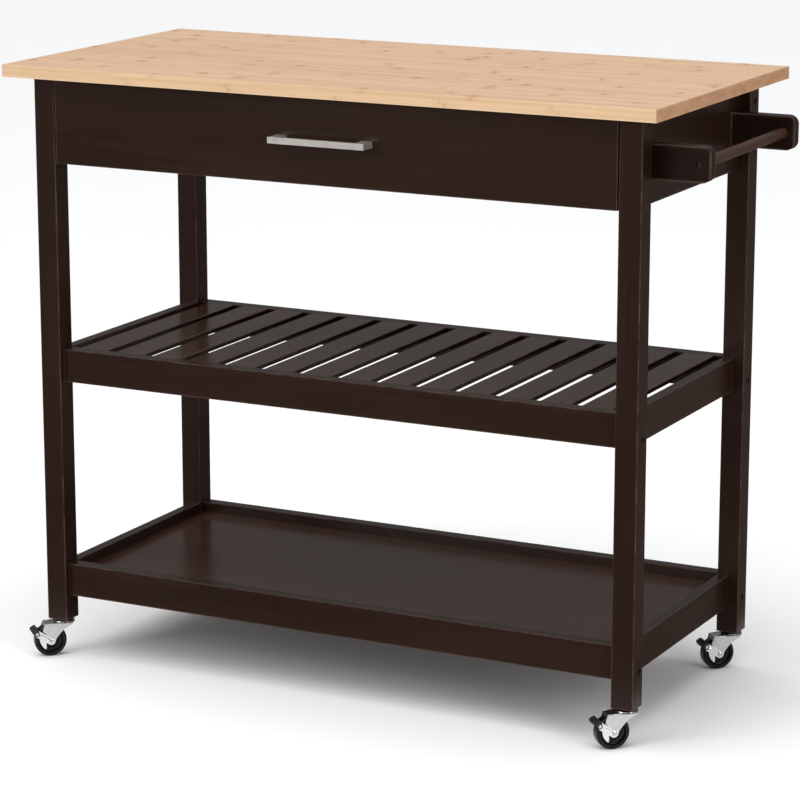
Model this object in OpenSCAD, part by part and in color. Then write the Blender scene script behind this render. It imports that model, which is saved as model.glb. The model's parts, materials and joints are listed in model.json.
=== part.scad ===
// Rolling utility cart: a slab worktop on a four-leg frame with one full-width drawer, a slatted
// middle shelf, a tray-like bottom shelf, a towel rack on the right-hand side and four swivel
// casters with foot brakes. Millimetres, +Z up, floor at Z = 0, drawer facing -Y.

/* [Worktop] */
// Height from the floor to the upper face of the worktop
total_h = 915; // [900:1:930]
// Width of the worktop, side to side
top_w = 1040; // [1036:2:1060]
// Depth of the worktop, front to back
top_d = 508; // [500:2:530]
// Thickness of the worktop
top_t = 18; // [16:1:22]

/* [Frame] */
// Width across the outer faces of the legs
frame_w = 974; // [960:2:980]
// Depth across the outer faces of the legs
frame_d = 440; // [430:2:450]
// Side of the square legs
leg = 34; // [34:1:36]
// Radius of the eased corners of the legs
leg_r = 1.5; // [1:0.5:3]
// Thickness of the side rails and the side aprons
side_t = 16; // [14:1:17]
// Thickness of the front and back rails
rail_t = 20; // [18:1:22]
// Height of every shelf rail
rail_h = 50; // [46:1:56]
// Height of the aprons
apron_h = 129; // [124:1:134]
// Set-back of the front rails behind the front faces of the legs
front_set = 10; // [8:1:12]
// Set-back of the back rails and back apron from the back faces of the legs
back_set = 6; // [4:1:8]

/* [Shelves] */
// Height of the slatted shelf's upper face above the floor
mid_z = 484; // [450:1:520]
// Number of slats
slat_n = 14; // [12:1:16]
// Gap between neighbouring slats
slat_gap = 17; // [12:1:18]
// Thickness of a slat
slat_t = 7; // [6:1:9]
// Height of the bottom shelf's rails, at their top edge
low_z = 148; // [146:1:180]
// Depth of the bottom panel below the top edge of its rails
panel_drop = 15; // [10:1:18]
// Thickness of the bottom panel
panel_t = 9; // [6:1:12]

/* [Drawer] */
// Gap round the drawer front
front_gap = 2; // [1.5:0.5:3]
// Thickness of the drawer front
front_t = 17; // [16:1:17]
// Thickness of the drawer's sides and back
box_t = 14; // [12:1:15]
// Height of the drawer's sides and back
box_h = 88; // [80:1:88]
// Depth of the drawer box behind its front
box_d = 378; // [340:2:380]
// Thickness of the drawer bottom
bottom_t = 5; // [4:1:6]
// Height of the wooden runner that carries each side of the drawer
runner_h = 16; // [12:1:18]
// Length of the bar handle
handle_w = 154; // [120:2:180]
// Height of the bar handle's section
handle_h = 9; // [8:1:12]
// Projection of the handle from the drawer front
handle_out = 27.5; // [24:0.5:30]

/* [Towel rack] */
// Reach of the rack's brackets beyond the outer faces of the legs
rack_out = 80; // [70:1:90]
// Height of a bracket
rack_h = 50; // [44:1:56]
// Thickness of a bracket
rack_t = 18; // [16:1:20]
// Radius of the two rounded corners of a bracket
rack_r = 13; // [10:1:20]
// Distance from the legs to the outer faces of the brackets
rack_inset = 14; // [6:1:24]
// Diameter of the round towel bar
bar_d = 16; // [14:1:18]

/* [Casters] */
// Height of a caster, from the floor to the underside of the leg
caster_h = 59; // [59:1:62]
// Diameter of a wheel
wheel_d = 50; // [48:1:50]
// Width of a wheel
wheel_w = 18; // [16:1:18]
// Distance from the swivel axis to the wheel axle
trail = 22; // [21:1:23]
// Angle at which the casters trail, turned from straight forward to the left
caster_yaw = 45; // [0:5:180]

/* [Hidden] */
$fn = 64;

// Sides of the cart: left and front are -1, right and back are +1
LEFT = -1;
RIGHT = 1;
FRONT = -1;
BACK = 1;

// The origin is the centre of the whole cart's footprint, towel rack included
shift_x = (frame_w / 2 + rack_out - top_w / 2) / 2;

// Frame: levels and faces
leg_top = total_h - top_t;
in_x = frame_w / 2 - leg;
leg_cx = frame_w / 2 - leg / 2;
leg_cy = frame_d / 2 - leg / 2;
in_y = frame_d / 2 - leg;
side_x = in_x + side_t;
front_y = -frame_d / 2;
front_in = front_y + front_set + rail_t;
back_out = frame_d / 2 - back_set;
back_in = back_out - rail_t;
apron_z = leg_top - apron_h;

// Front stretcher over the drawer and cleat inside the back apron, both under the worktop
stretch_y0 = front_y + front_t + 1;
stretch_d = 32;
stretch_h = 18;
cleat_w = 18;
cleat_h = 15;

// Bolts through the legs into the rails, with a barrel nut in each rail end
bolt_r = 3;
bolt_hole_r = 3.25;
bolt_head_r = 4.6;
bolt_head_h = 4;
bolt_bore_r = 5;
bolt_bore_h = 5;
bolt_len = 65;
socket_r = 2.4;
nut_r = 5;
nut_len = 14;
nut_in = 28;
bolt_drop = 36;
stretch_bolt = [stretch_y0 + 6, leg_top - stretch_h / 2];
front_bolts = [
    [front_in - rail_t / 2, mid_z - bolt_drop],
    [front_in - rail_t / 2, low_z - bolt_drop]
];
back_bolts = [
    [back_in + rail_t / 2, leg_top - 29],
    [back_in + rail_t / 2, leg_top - 100],
    [back_in + rail_t / 2, mid_z - bolt_drop],
    [back_in + rail_t / 2, low_z - bolt_drop]
];

// Dowels that join the side rails and side aprons to the legs
dowel_r = 4;
dowel_leg = 12;
dowel_side = 18;
dowel_x = in_x + side_t / 2;
dowel_z = [
    leg_top - 35, leg_top - 100, mid_z - 10, mid_z - 24, low_z - 10, low_z - 24
];

// Wood screws
screw_r = 2;
screw_head_r = 4;
screw_head_h = 2.6;
screw_sink = 3;
fit_gap = 0.05;
top_screw_x = [-350, 0, 350];
top_screw_len = 26;

// Drawer: faces and levels
front_x = in_x - front_gap;
box_z = apron_z + 12;
box_y0 = front_y + front_t;
box_y1 = box_y0 + box_d;
box_in = front_x - box_t;
bottom_z = box_z + 8;
groove_d = 6;
runner_w = 10;
runner_z = box_z + box_h / 2 - runner_h / 2;
runner_gap = 0.4;
handle_z = leg_top - apron_h / 2;
handle_bar = 7;
handle_foot = 17;
handle_screw_x = handle_w / 2 - handle_foot / 2;

// Towel rack
rack_z = leg_top - apron_h / 2 - 1;
rack_x1 = frame_w / 2 + rack_out;
rack_y = in_y - rack_inset - rack_t / 2;
bar_x = rack_x1 - rack_h / 2 + 7;
bar_seat = 8;
rack_screw_len = 27;

// Caster: levels above the floor and the parts' radii
wheel_r = wheel_d / 2;
race_r = 17;
fork_t = 2;
fork_z = wheel_d + 1.5;
race_z = fork_z + fork_t + 0.5;
race_h = 2.5;
collar_r = 9;
stem_r = 5;
stem_len = 38;
kingpin_r = 4;
kingpin_head_r = 6.5;
kingpin_head_h = 2;
cheek_in = wheel_w / 2 + 1;
cheek_t = 1.6;
arm_in = cheek_in + cheek_t + 0.3;
arm_t = 1.2;
axle_r = 3;
axle_head_r = 4.5;
axle_head_h = 1.6;
axle_end = arm_in + arm_t + 0.3;
run_gap = 0.06;

espresso = "#33241f";
bamboo = "#dfbd97";
birch = "#d9c39a";
beech = "#cfa875";

// ---- helpers ----

module on_cart() {
    translate([-shift_x, 0, 0]) children();
}

// A box between two corners
module block(lo, hi) {
    translate(lo) cube(hi - lo);
}

// A block mirrored to one side of the cart
module sided(side) {
    scale([side, 1, 1]) children();
}

// A cylinder along +X from a point
module rod_x(at, r, len, sides = $fn) {
    translate(at) rotate([0, 90, 0]) cylinder(r = r, h = len, $fn = sides);
}

// A cylinder along +Y from a point
module rod_y(at, r, len) {
    translate(at) rotate([-90, 0, 0]) cylinder(r = r, h = len);
}

// An outline drawn in Y and Z, given thickness t along +X from x0
module plate_yz(x0, t) {
    translate([x0, 0, 0]) rotate([90, 0, 90]) linear_extrude(t) children();
}

module rounded_square(side, r) {
    square([side - 2 * r, side], center = true);
    square([side, side - 2 * r], center = true);
    for (x = [-1, 1], y = [-1, 1]) {
        translate([x * (side / 2 - r), y * (side / 2 - r)]) circle(r);
    }
}

// A countersunk wood screw along +Z, its head's outer face at Z = 0
module wood_screw(len) {
    cylinder(r1 = screw_head_r, r2 = screw_r, h = screw_head_h);
    cylinder(r = screw_r, h = len);
}

// The hole for a wood screw: a sunk seat for the head and a tight bore for the shank
module screw_hole(len) {
    translate([0, 0, -screw_sink]) cylinder(r = screw_head_r + 0.4, h = screw_sink + screw_head_h);
    cylinder(r = screw_r + fit_gap, h = len + 1);
}

// ---- fasteners' places, shared by the pieces they hold ----

// Mirrors a right-hand-side fastener to both sides
module both_sides() {
    children();
    sided(LEFT) children();
}

// The hole through a leg for a bolt whose centre is [y, z], with a counterbore for its head
module bolt_hole(p) {
    rod_x([in_x - 1, p[0], p[1]], bolt_hole_r, leg + 2);
    rod_x([frame_w / 2 - bolt_bore_h, p[0], p[1]], bolt_bore_r, bolt_bore_h + 1);
}

// The holes in the end of a rail for a bolt and, from the inner face, its barrel nut
module rail_end_holes(p, inner_y) {
    dir = inner_y > p[0] ? 1 : -1;
    rod_x([in_x - bolt_len + leg - bolt_bore_h - 2, p[0], p[1]], bolt_hole_r, bolt_len);
    translate([in_x - nut_in, inner_y + dir, p[1]]) rotate([dir * 90, 0, 0])
        cylinder(r = nut_r + fit_gap, h = abs(inner_y - p[0]) + nut_len / 2 + 1.5);
}

module bolt(p) {
    difference() {
        union() {
            rod_x([frame_w / 2 - bolt_bore_h, p[0], p[1]], bolt_head_r, bolt_head_h);
            rod_x([frame_w / 2 - bolt_bore_h - bolt_len + 5, p[0], p[1]], bolt_r, bolt_len - 4);
        }
        rod_x([frame_w / 2 - bolt_bore_h + 1.5, p[0], p[1]], socket_r, bolt_head_h, 6);
    }
}

module barrel_nut_y(p) {
    difference() {
        rod_y([in_x - nut_in, p[0] - nut_len / 2, p[1]], nut_r, nut_len);
        rod_x([in_x - nut_in - nut_r - 1, p[0], p[1]], bolt_r + fit_gap, 2 * nut_r + 2);
    }
}

module barrel_nut_z(p) {
    difference() {
        translate([in_x - nut_in, p[0], p[1] - nut_len / 2]) cylinder(r = nut_r, h = nut_len);
        rod_x([in_x - nut_in - nut_r - 1, p[0], p[1]], bolt_r + fit_gap, 2 * nut_r + 2);
    }
}

// A dowel at height z between the back of a front leg, or the front of a back leg, and the side
module dowel(y_side, z, grow = 0) {
    y0 = y_side < 0 ? -in_y - dowel_leg : in_y - dowel_side;
    rod_y([dowel_x, y0 - grow, z], dowel_r + grow, dowel_leg + dowel_side + 2 * grow);
}

module rack_bar_screw(side) {
    translate([bar_x, side * (rack_y + rack_t / 2 - screw_sink), rack_z])
        rotate([side > 0 ? 90 : -90, 0, 0]) children();
}

module rack_wall_screws() {
    for (y = [-rack_y, rack_y], z = [rack_z - 14, rack_z + 14]) {
        translate([in_x + screw_sink, y, z]) rotate([0, 90, 0]) children();
    }
}

module top_screws_front() {
    for (x = top_screw_x) {
        translate([x, stretch_y0 + stretch_d / 2, leg_top - stretch_h + screw_sink]) children();
    }
}

module top_screws_back() {
    for (x = top_screw_x) {
        translate([x, back_in - cleat_w / 2, leg_top - stretch_h + screw_sink]) children();
    }
}

module handle_screw_places() {
    for (x = [-handle_screw_x, handle_screw_x]) {
        translate([x, box_y0, handle_z]) rotate([90, 0, 0]) children();
    }
}

// ---- worktop and legs ----

module worktop() {
    color(bamboo) on_cart() difference() {
        block([-top_w / 2, -top_d / 2, leg_top], [top_w / 2, top_d / 2, total_h]);
        top_screws_front() screw_hole(top_screw_len);
        top_screws_back() screw_hole(top_screw_len);
    }
}

// One leg, with its bolt holes, dowel holes and the socket for the caster's stem
module leg_post(side, end) {
    bolts = end == FRONT ? concat([stretch_bolt], front_bolts) : back_bolts;
    color(espresso) on_cart() sided(side) difference() {
        translate([leg_cx, end * leg_cy, caster_h])
            linear_extrude(leg_top - caster_h) rounded_square(leg, leg_r);
        for (p = bolts) bolt_hole(p);
        for (z = dowel_z) dowel(end, z, fit_gap);
        translate([leg_cx, end * leg_cy, caster_h - 1])
            cylinder(r = stem_r + run_gap, h = stem_len + 3);
    }
}

// ---- frame pieces ----

// A side rail or side apron between the front and back legs
module side_board(side, top_z, h) {
    color(espresso) on_cart() sided(side) difference() {
        block([in_x, -in_y, top_z - h], [side_x, in_y, top_z]);
        for (z = dowel_z, end = [FRONT, BACK]) dowel(end, z, fit_gap);
        if (side == RIGHT && h == apron_h) rack_wall_screws() screw_hole(rack_screw_len);
    }
}

// A front or back rail between the left and right legs; inner_y is its hidden face
module cross_board(y0, y1, top_z, h, bolts, inner_y) {
    color(espresso) on_cart() difference() {
        block([-in_x, y0, top_z - h], [in_x, y1, top_z]);
        for (p = bolts) both_sides() rail_end_holes(p, inner_y);
    }
}

module front_rail(top_z) {
    bolts = [for (p = front_bolts) if (p[1] == top_z - bolt_drop) p];
    cross_board(front_in - rail_t, front_in, top_z, rail_h, bolts, front_in);
}

module back_rail(top_z, h) {
    bolts = [for (p = back_bolts) if (p[1] < top_z && p[1] > top_z - h) p];
    cross_board(back_in, back_out, top_z, h, bolts, back_in);
}

module front_stretcher() {
    p = stretch_bolt;
    color(espresso) on_cart() difference() {
        block([-in_x, stretch_y0, leg_top - stretch_h], [in_x, stretch_y0 + stretch_d, leg_top]);
        both_sides() rod_x([in_x - bolt_len + leg - bolt_bore_h - 2, p[0], p[1]], bolt_hole_r, bolt_len);
        both_sides() translate([in_x - nut_in, p[0], leg_top - stretch_h - 1])
            cylinder(r = nut_r + fit_gap, h = stretch_h / 2 + nut_len / 2 + 1.5);
        top_screws_front() screw_hole(top_screw_len);
    }
}

module top_cleat() {
    color(espresso) on_cart() difference() {
        block([-in_x, back_in - cleat_w, leg_top - stretch_h], [in_x, back_in, leg_top]);
        top_screws_back() screw_hole(top_screw_len);
    }
}

module drawer_runner(side) {
    color(beech) on_cart() sided(side)
        block([in_x - runner_w, box_y0 + 3, runner_z], [in_x, back_in - 4, runner_z + runner_h]);
}

// Two cleats along the inner faces of the front and back rails, their tops at top_z
module cleat_pair(top_z) {
    color(espresso) on_cart() {
        block([-in_x, front_in, top_z - cleat_h], [in_x, front_in + cleat_w, top_z]);
        block([-in_x, back_in - cleat_w, top_z - cleat_h], [in_x, back_in, top_z]);
    }
}

module shelf_slats() {
    slat_w = (2 * in_x - (slat_n + 1) * slat_gap) / slat_n;
    color(espresso) on_cart() for (i = [0 : slat_n - 1]) {
        x0 = -in_x + slat_gap + i * (slat_w + slat_gap);
        block([x0, front_in, mid_z - slat_t], [x0 + slat_w, back_in, mid_z]);
    }
}

module bottom_panel() {
    color(espresso) on_cart()
        block([-in_x, front_in, low_z - panel_drop - panel_t], [in_x, back_in, low_z - panel_drop]);
}

// ---- towel rack ----

// The outline of a bracket: square where it meets the apron, two rounded corners at its end
module bracket_outline() {
    x0 = side_x;
    r = rack_r;
    translate([x0, -rack_h / 2]) square([rack_x1 - r - x0, rack_h]);
    translate([x0, -rack_h / 2 + r]) square([rack_x1 - x0, rack_h - 2 * r]);
    for (z = [-1, 1]) translate([rack_x1 - r, z * (rack_h / 2 - r)]) circle(r);
}

module rack_bracket(end) {
    color(espresso) on_cart() difference() {
        translate([0, end * rack_y + rack_t / 2, rack_z]) rotate([90, 0, 0])
            linear_extrude(rack_t) bracket_outline();
        rod_y([bar_x, end * rack_y - (end > 0 ? rack_t / 2 + 1 : rack_t / 2 - bar_seat - 2), rack_z],
            bar_d / 2 + fit_gap, bar_seat + 1);
        rack_bar_screw(end) screw_hole(rack_screw_len);
        rack_wall_screws() screw_hole(rack_screw_len);
    }
}

module towel_bar() {
    half = rack_y - rack_t / 2 + bar_seat - 0.2;
    color(espresso) on_cart() difference() {
        rod_y([bar_x, -half, rack_z], bar_d / 2, 2 * half);
        for (end = [FRONT, BACK]) rack_bar_screw(end) screw_hole(rack_screw_len);
    }
}

// ---- fasteners ----

module frame_bolts() {
    color("dimgray") on_cart() for (p = concat([stretch_bolt], front_bolts, back_bolts)) {
        both_sides() bolt(p);
    }
}

module barrel_nuts() {
    color("silver") on_cart() {
        both_sides() barrel_nut_z(stretch_bolt);
        for (p = concat(front_bolts, back_bolts)) both_sides() barrel_nut_y(p);
    }
}

module joint_dowels() {
    color(beech) on_cart() for (z = dowel_z, end = [FRONT, BACK]) {
        both_sides() dowel(end, z);
    }
}

module rack_screws() {
    color("silver") on_cart() {
        for (end = [FRONT, BACK]) rack_bar_screw(end) wood_screw(rack_screw_len);
        rack_wall_screws() wood_screw(rack_screw_len);
    }
}

module worktop_screws() {
    color("silver") on_cart() {
        top_screws_front() wood_screw(top_screw_len);
        top_screws_back() wood_screw(top_screw_len);
    }
}

// ---- drawer ----

// The groove round the inside of the drawer that holds its bottom panel
module bottom_groove(gap) {
    block([-box_in - groove_d - gap, box_y0 - groove_d - gap, bottom_z - gap],
        [box_in + groove_d + gap, box_y1 - box_t + groove_d + gap, bottom_z + bottom_t + gap]);
}

module drawer_front() {
    color(espresso) on_cart() difference() {
        block([-front_x, front_y, apron_z], [front_x, box_y0, leg_top - front_gap]);
        bottom_groove(fit_gap);
        handle_screw_places() translate([0, 0, -1])
            cylinder(r = screw_r + 2 * fit_gap, h = front_t + 2);
    }
}

module drawer_side(side) {
    color(birch) on_cart() sided(side) difference() {
        block([box_in, box_y0, box_z], [front_x, box_y1, box_z + box_h]);
        bottom_groove(fit_gap);
        block([in_x - runner_w - 0.6, box_y0 - 1, runner_z - runner_gap],
            [in_x, box_y1 + 1, runner_z + runner_h + runner_gap]);
    }
}

module drawer_back() {
    color(birch) on_cart() difference() {
        block([-box_in, box_y1 - box_t, box_z], [box_in, box_y1, box_z + box_h]);
        bottom_groove(fit_gap);
    }
}

module drawer_bottom() {
    color(birch) on_cart() bottom_groove(0);
}

module drawer_handle() {
    y1 = front_y - handle_out;
    z0 = handle_z - handle_h / 2;
    z1 = handle_z + handle_h / 2;
    color("silver") on_cart() difference() {
        union() {
            block([-handle_w / 2, y1, z0], [handle_w / 2, y1 + handle_bar, z1]);
            both_sides() block([handle_w / 2 - handle_foot, y1, z0], [handle_w / 2, front_y, z1]);
        }
        handle_screw_places() cylinder(r = screw_r + fit_gap, h = front_t + 9);
    }
}

// Machine screws driven from inside the drawer into the handle's feet
module handle_screws() {
    color("silver") on_cart() handle_screw_places() {
        cylinder(r = screw_r, h = front_t + 8);
        translate([0, 0, -2]) cylinder(r = screw_head_r, h = 2);
    }
}

// ---- casters ----

// Places a caster under one leg, trailing to -Y in its own axes
module caster_at(side, end) {
    on_cart() translate([side * leg_cx, end * leg_cy, 0]) rotate([0, 0, -caster_yaw]) children();
}

// Threaded stem, hexagonal collar, upper race plate and kingpin, one turned piece
module caster_stem(side, end) {
    color("silver") caster_at(side, end) {
        translate([0, 0, caster_h]) cylinder(r = stem_r, h = stem_len);
        translate([0, 0, race_z + race_h]) cylinder(r = collar_r, h = caster_h - race_z - race_h, $fn = 6);
        translate([0, 0, race_z]) cylinder(r = race_r, h = race_h);
        translate([0, 0, fork_z - 0.3]) cylinder(r = kingpin_r, h = fork_t + 0.8);
        translate([0, 0, fork_z - 0.3 - kingpin_head_h]) cylinder(r = kingpin_head_r, h = kingpin_head_h);
    }
}

// The outline of one cheek of the fork, from the race plate down to the axle
module cheek_outline() {
    top = fork_z + fork_t;
    axle_y = -trail;
    polygon([
        [12, top], [axle_y - 9, top], [axle_y - 13, wheel_r + 12], [axle_y - 5, wheel_r - 3],
        [axle_y + 6, wheel_r - 1], [axle_y + 9, wheel_r + 7], [axle_y + 19, wheel_r + 17], [12, fork_z - 3]
    ]);
    translate([axle_y, wheel_r]) circle(6);
}

module caster_fork(side, end) {
    color("silver") caster_at(side, end) difference() {
        union() {
            translate([0, 0, fork_z]) cylinder(r = race_r, h = fork_t);
            block([-cheek_in - cheek_t, -trail - 9, fork_z], [cheek_in + cheek_t, 0, fork_z + fork_t]);
            plate_yz(cheek_in, cheek_t) cheek_outline();
            plate_yz(-cheek_in - cheek_t, cheek_t) cheek_outline();
        }
        translate([0, 0, fork_z - 1]) cylinder(r = kingpin_r + run_gap, h = fork_t + 2);
        rod_x([-axle_end, -trail, wheel_r], axle_r + fit_gap, 2 * axle_end);
    }
}

module caster_axle(side, end) {
    color("silver") caster_at(side, end) {
        rod_x([-axle_end, -trail, wheel_r], axle_r, 2 * axle_end);
        rod_x([axle_end, -trail, wheel_r], axle_head_r, axle_head_h);
        rod_x([-axle_end - axle_head_h, -trail, wheel_r], axle_head_r, axle_head_h);
    }
}

// Half of the wheel's section as [radius, offset from the middle plane], from bore to tread
function wheel_half() = [
    [axle_r + run_gap, wheel_w / 2], [8, wheel_w / 2], [9, wheel_w / 2 - 2], [wheel_r - 6, wheel_w / 2 - 2],
    [wheel_r - 4.5, wheel_w / 2], [wheel_r - 2, wheel_w / 2], [wheel_r, wheel_w / 2 - 2.5]
];

module caster_wheel(side, end) {
    half = wheel_half();
    n = len(half);
    outline = concat(half, [for (i = [n - 1 : -1 : 0]) [half[i][0], -half[i][1]]]);
    color("#151515") caster_at(side, end) translate([0, -trail, wheel_r]) rotate([0, 90, 0])
        rotate_extrude() polygon(outline);
}

// The outline of one arm of the brake, from the axle up to the pedal
module brake_arm() {
    y = -trail;
    z = wheel_r;
    polygon([
        [y + 1, z + 5.9], [y - 22, z + 19.5], [y - 29, z + 16], [y - 27, z + 11.5], [y - 3, z - 5.2]
    ]);
    translate([y, z]) circle(6);
}

// The section of the plate that joins the arms in front of the wheel, and of the pad on it
module brake_bridge() {
    y = -trail;
    z = wheel_r;
    polygon([[y - 22, z + 19.5], [y - 29, z + 16], [y - 28, z + 13.8], [y - 21.5, z + 17]]);
}

module brake_pad() {
    y = -trail;
    z = wheel_r;
    polygon([
        [y - 22, z + 19.5], [y - 23.2, z + 22], [y - 31.6, z + 18.2], [y - 30.4, z + 13.6],
        [y - 28, z + 13.8], [y - 29, z + 16]
    ]);
}

module caster_brake(side, end) {
    color("silver") caster_at(side, end) difference() {
        union() {
            plate_yz(arm_in, arm_t) brake_arm();
            plate_yz(-arm_in - arm_t, arm_t) brake_arm();
            plate_yz(-arm_in - arm_t, 2 * (arm_in + arm_t)) brake_bridge();
            plate_yz(-wheel_w / 2, wheel_w) brake_pad();
        }
        rod_x([-axle_end, -trail, wheel_r], axle_r + run_gap, 2 * axle_end);
    }
}

// ---- nodes ----

worktop();
leg_post(LEFT, FRONT);  // leg_front_left
leg_post(RIGHT, FRONT);  // leg_front_right
leg_post(LEFT, BACK);  // leg_back_left
leg_post(RIGHT, BACK);  // leg_back_right
side_board(LEFT, leg_top, apron_h);  // side_apron_left
side_board(RIGHT, leg_top, apron_h);  // side_apron_right
back_rail(leg_top, apron_h);  // back_apron
front_stretcher();
top_cleat();
drawer_runner(LEFT);  // drawer_runner_left
drawer_runner(RIGHT);  // drawer_runner_right
front_rail(mid_z);  // mid_rail_front
back_rail(mid_z, rail_h);  // mid_rail_back
side_board(LEFT, mid_z, rail_h);  // mid_rail_left
side_board(RIGHT, mid_z, rail_h);  // mid_rail_right
cleat_pair(mid_z - slat_t);  // slat_cleats
shelf_slats();
front_rail(low_z);  // low_rail_front
back_rail(low_z, rail_h);  // low_rail_back
side_board(LEFT, low_z, rail_h);  // low_rail_left
side_board(RIGHT, low_z, rail_h);  // low_rail_right
cleat_pair(low_z - panel_drop - panel_t);  // panel_cleats
bottom_panel();
rack_bracket(FRONT);  // rack_bracket_front
rack_bracket(BACK);  // rack_bracket_back
towel_bar();
frame_bolts();
barrel_nuts();
joint_dowels();
rack_screws();
worktop_screws();
drawer_front();
drawer_side(LEFT);  // drawer_side_left
drawer_side(RIGHT);  // drawer_side_right
drawer_back();
drawer_bottom();
drawer_handle();
handle_screws();
caster_stem(LEFT, FRONT);  // caster_fl_stem
caster_fork(LEFT, FRONT);  // caster_fl_fork
caster_axle(LEFT, FRONT);  // caster_fl_axle
caster_wheel(LEFT, FRONT);  // caster_fl_wheel
caster_brake(LEFT, FRONT);  // caster_fl_brake
caster_stem(RIGHT, FRONT);  // caster_fr_stem
caster_fork(RIGHT, FRONT);  // caster_fr_fork
caster_axle(RIGHT, FRONT);  // caster_fr_axle
caster_wheel(RIGHT, FRONT);  // caster_fr_wheel
caster_brake(RIGHT, FRONT);  // caster_fr_brake
caster_stem(LEFT, BACK);  // caster_bl_stem
caster_fork(LEFT, BACK);  // caster_bl_fork
caster_axle(LEFT, BACK);  // caster_bl_axle
caster_wheel(LEFT, BACK);  // caster_bl_wheel
caster_brake(LEFT, BACK);  // caster_bl_brake
caster_stem(RIGHT, BACK);  // caster_br_stem
caster_fork(RIGHT, BACK);  // caster_br_fork
caster_axle(RIGHT, BACK);  // caster_br_axle
caster_wheel(RIGHT, BACK);  // caster_br_wheel
caster_brake(RIGHT, BACK);  // caster_br_brake
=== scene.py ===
"""Looks of the rolling utility cart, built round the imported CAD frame. Metres, +Z up, drawer facing -Y."""

import json
import math

import bmesh
import bpy
from mathutils import Matrix, Vector


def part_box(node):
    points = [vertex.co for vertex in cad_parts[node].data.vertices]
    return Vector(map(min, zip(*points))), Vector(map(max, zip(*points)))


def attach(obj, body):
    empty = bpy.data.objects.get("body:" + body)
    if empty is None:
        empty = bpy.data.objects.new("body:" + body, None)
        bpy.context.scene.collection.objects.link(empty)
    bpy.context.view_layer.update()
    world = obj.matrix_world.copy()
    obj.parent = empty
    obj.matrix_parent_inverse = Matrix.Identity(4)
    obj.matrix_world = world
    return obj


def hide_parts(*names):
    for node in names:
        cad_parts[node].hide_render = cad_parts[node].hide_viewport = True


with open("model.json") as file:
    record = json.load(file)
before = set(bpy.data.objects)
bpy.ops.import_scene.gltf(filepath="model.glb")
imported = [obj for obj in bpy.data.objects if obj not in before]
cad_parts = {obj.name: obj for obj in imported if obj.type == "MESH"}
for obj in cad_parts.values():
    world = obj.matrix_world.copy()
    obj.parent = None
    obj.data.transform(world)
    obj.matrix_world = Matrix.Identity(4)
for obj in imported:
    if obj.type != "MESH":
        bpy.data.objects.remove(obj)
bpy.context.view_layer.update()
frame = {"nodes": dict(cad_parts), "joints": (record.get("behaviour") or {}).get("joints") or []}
NODES = frame["nodes"]
MM = 0.001
X, Y, Z = 0, 1, 2

# ---------------------------------------------------------------- node trees


class Nodes:
    """A node tree, with short calls for the nodes used here."""

    def __init__(self, tree):
        self.tree = tree

    def put(self, socket, value):
        if isinstance(value, bpy.types.NodeSocket):
            self.tree.links.new(value, socket)
        elif socket.type == "RGBA" and len(value) == 3:
            socket.default_value = (*value, 1)
        else:
            socket.default_value = value

    def node(self, kind, inputs, **settings):
        made = self.tree.nodes.new("ShaderNode" + kind)
        for key, value in settings.items():
            setattr(made, key, value)
        for key, value in inputs.items():
            self.put(made.inputs[key], value)
        return made

    def math(self, operation, a, b=0.0, c=0.0):
        return self.node("Math", {0: a, 1: b, 2: c}, operation=operation).outputs[0]

    def place(self, scale=(1, 1, 1), shift=(0, 0, 0)):
        """The piece's own coordinates in metres, scaled and shifted."""
        where = self.node("TexCoord", {}).outputs["Object"]
        return self.node("Mapping", {"Vector": where, "Scale": scale, "Location": shift}).outputs[0]

    def axes(self):
        where = self.node("TexCoord", {}).outputs["Object"]
        return self.node("SeparateXYZ", {0: where}).outputs

    def noise(self, vector, scale, detail=3.0, rough=0.55, distortion=0.0):
        inputs = {"Vector": vector, "Scale": scale, "Detail": detail, "Roughness": rough, "Distortion": distortion}
        return self.node("TexNoise", inputs).outputs[0]

    def span(self, value, low, high, to_low=0.0, to_high=1.0, smooth=False):
        inputs = {"Value": value, "From Min": low, "From Max": high, "To Min": to_low, "To Max": to_high}
        return self.node("MapRange", inputs, interpolation_type="SMOOTHSTEP" if smooth else "LINEAR").outputs[0]

    def mix(self, share, a, b):
        return self.node("Mix", {0: share, 6: a, 7: b}, data_type="RGBA").outputs[2]

    def bump(self, height, distance, strength):
        return self.node("Bump", {"Height": height, "Distance": distance, "Strength": strength}).outputs[0]


class Paint(Nodes):
    """A material's node tree and its shader."""

    def __init__(self, name, **surface):
        self.material = bpy.data.materials.new(name)
        self.material.use_nodes = True
        super().__init__(self.material.node_tree)
        self.shader = self.tree.nodes["Principled BSDF"]
        self.set(**surface)

    def set(self, **surface):
        for key, value in surface.items():
            self.put(self.shader.inputs[key.replace("_", " ").title().replace("Ior", "IOR")], value)


def arris_distance(paint, low, high, period=None):
    """Distance from a point on a board's face to the board's nearest arris, from its box."""
    away = []
    for axis, socket in enumerate(paint.axes()):
        if period and axis == X:
            start, pitch, width = period
            turn = paint.math("FLOORED_MODULO", paint.math("SUBTRACT", socket, start), pitch)
            off = paint.math("ABSOLUTE", paint.math("SUBTRACT", turn, width / 2))
            half = width / 2
        else:
            off = paint.math("ABSOLUTE", paint.math("SUBTRACT", socket, (low[axis] + high[axis]) / 2))
            half = (high[axis] - low[axis]) / 2
        away.append(paint.math("SUBTRACT", half, off))
    small = paint.math("MINIMUM", away[0], away[1])
    large = paint.math("MAXIMUM", away[0], away[1])
    return paint.math("MAXIMUM", small, paint.math("MINIMUM", large, away[2]))


def stretched(grain, along, across):
    return [along if axis == grain else across for axis in range(3)]


def board_shift(node):
    """A different patch of the grain for every board, from its place."""
    low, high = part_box(node)
    centre = (low + high) / 2
    return tuple((centre[i] * (7.3, 5.1, 3.7)[i]) % 3 for i in range(3))


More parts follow.
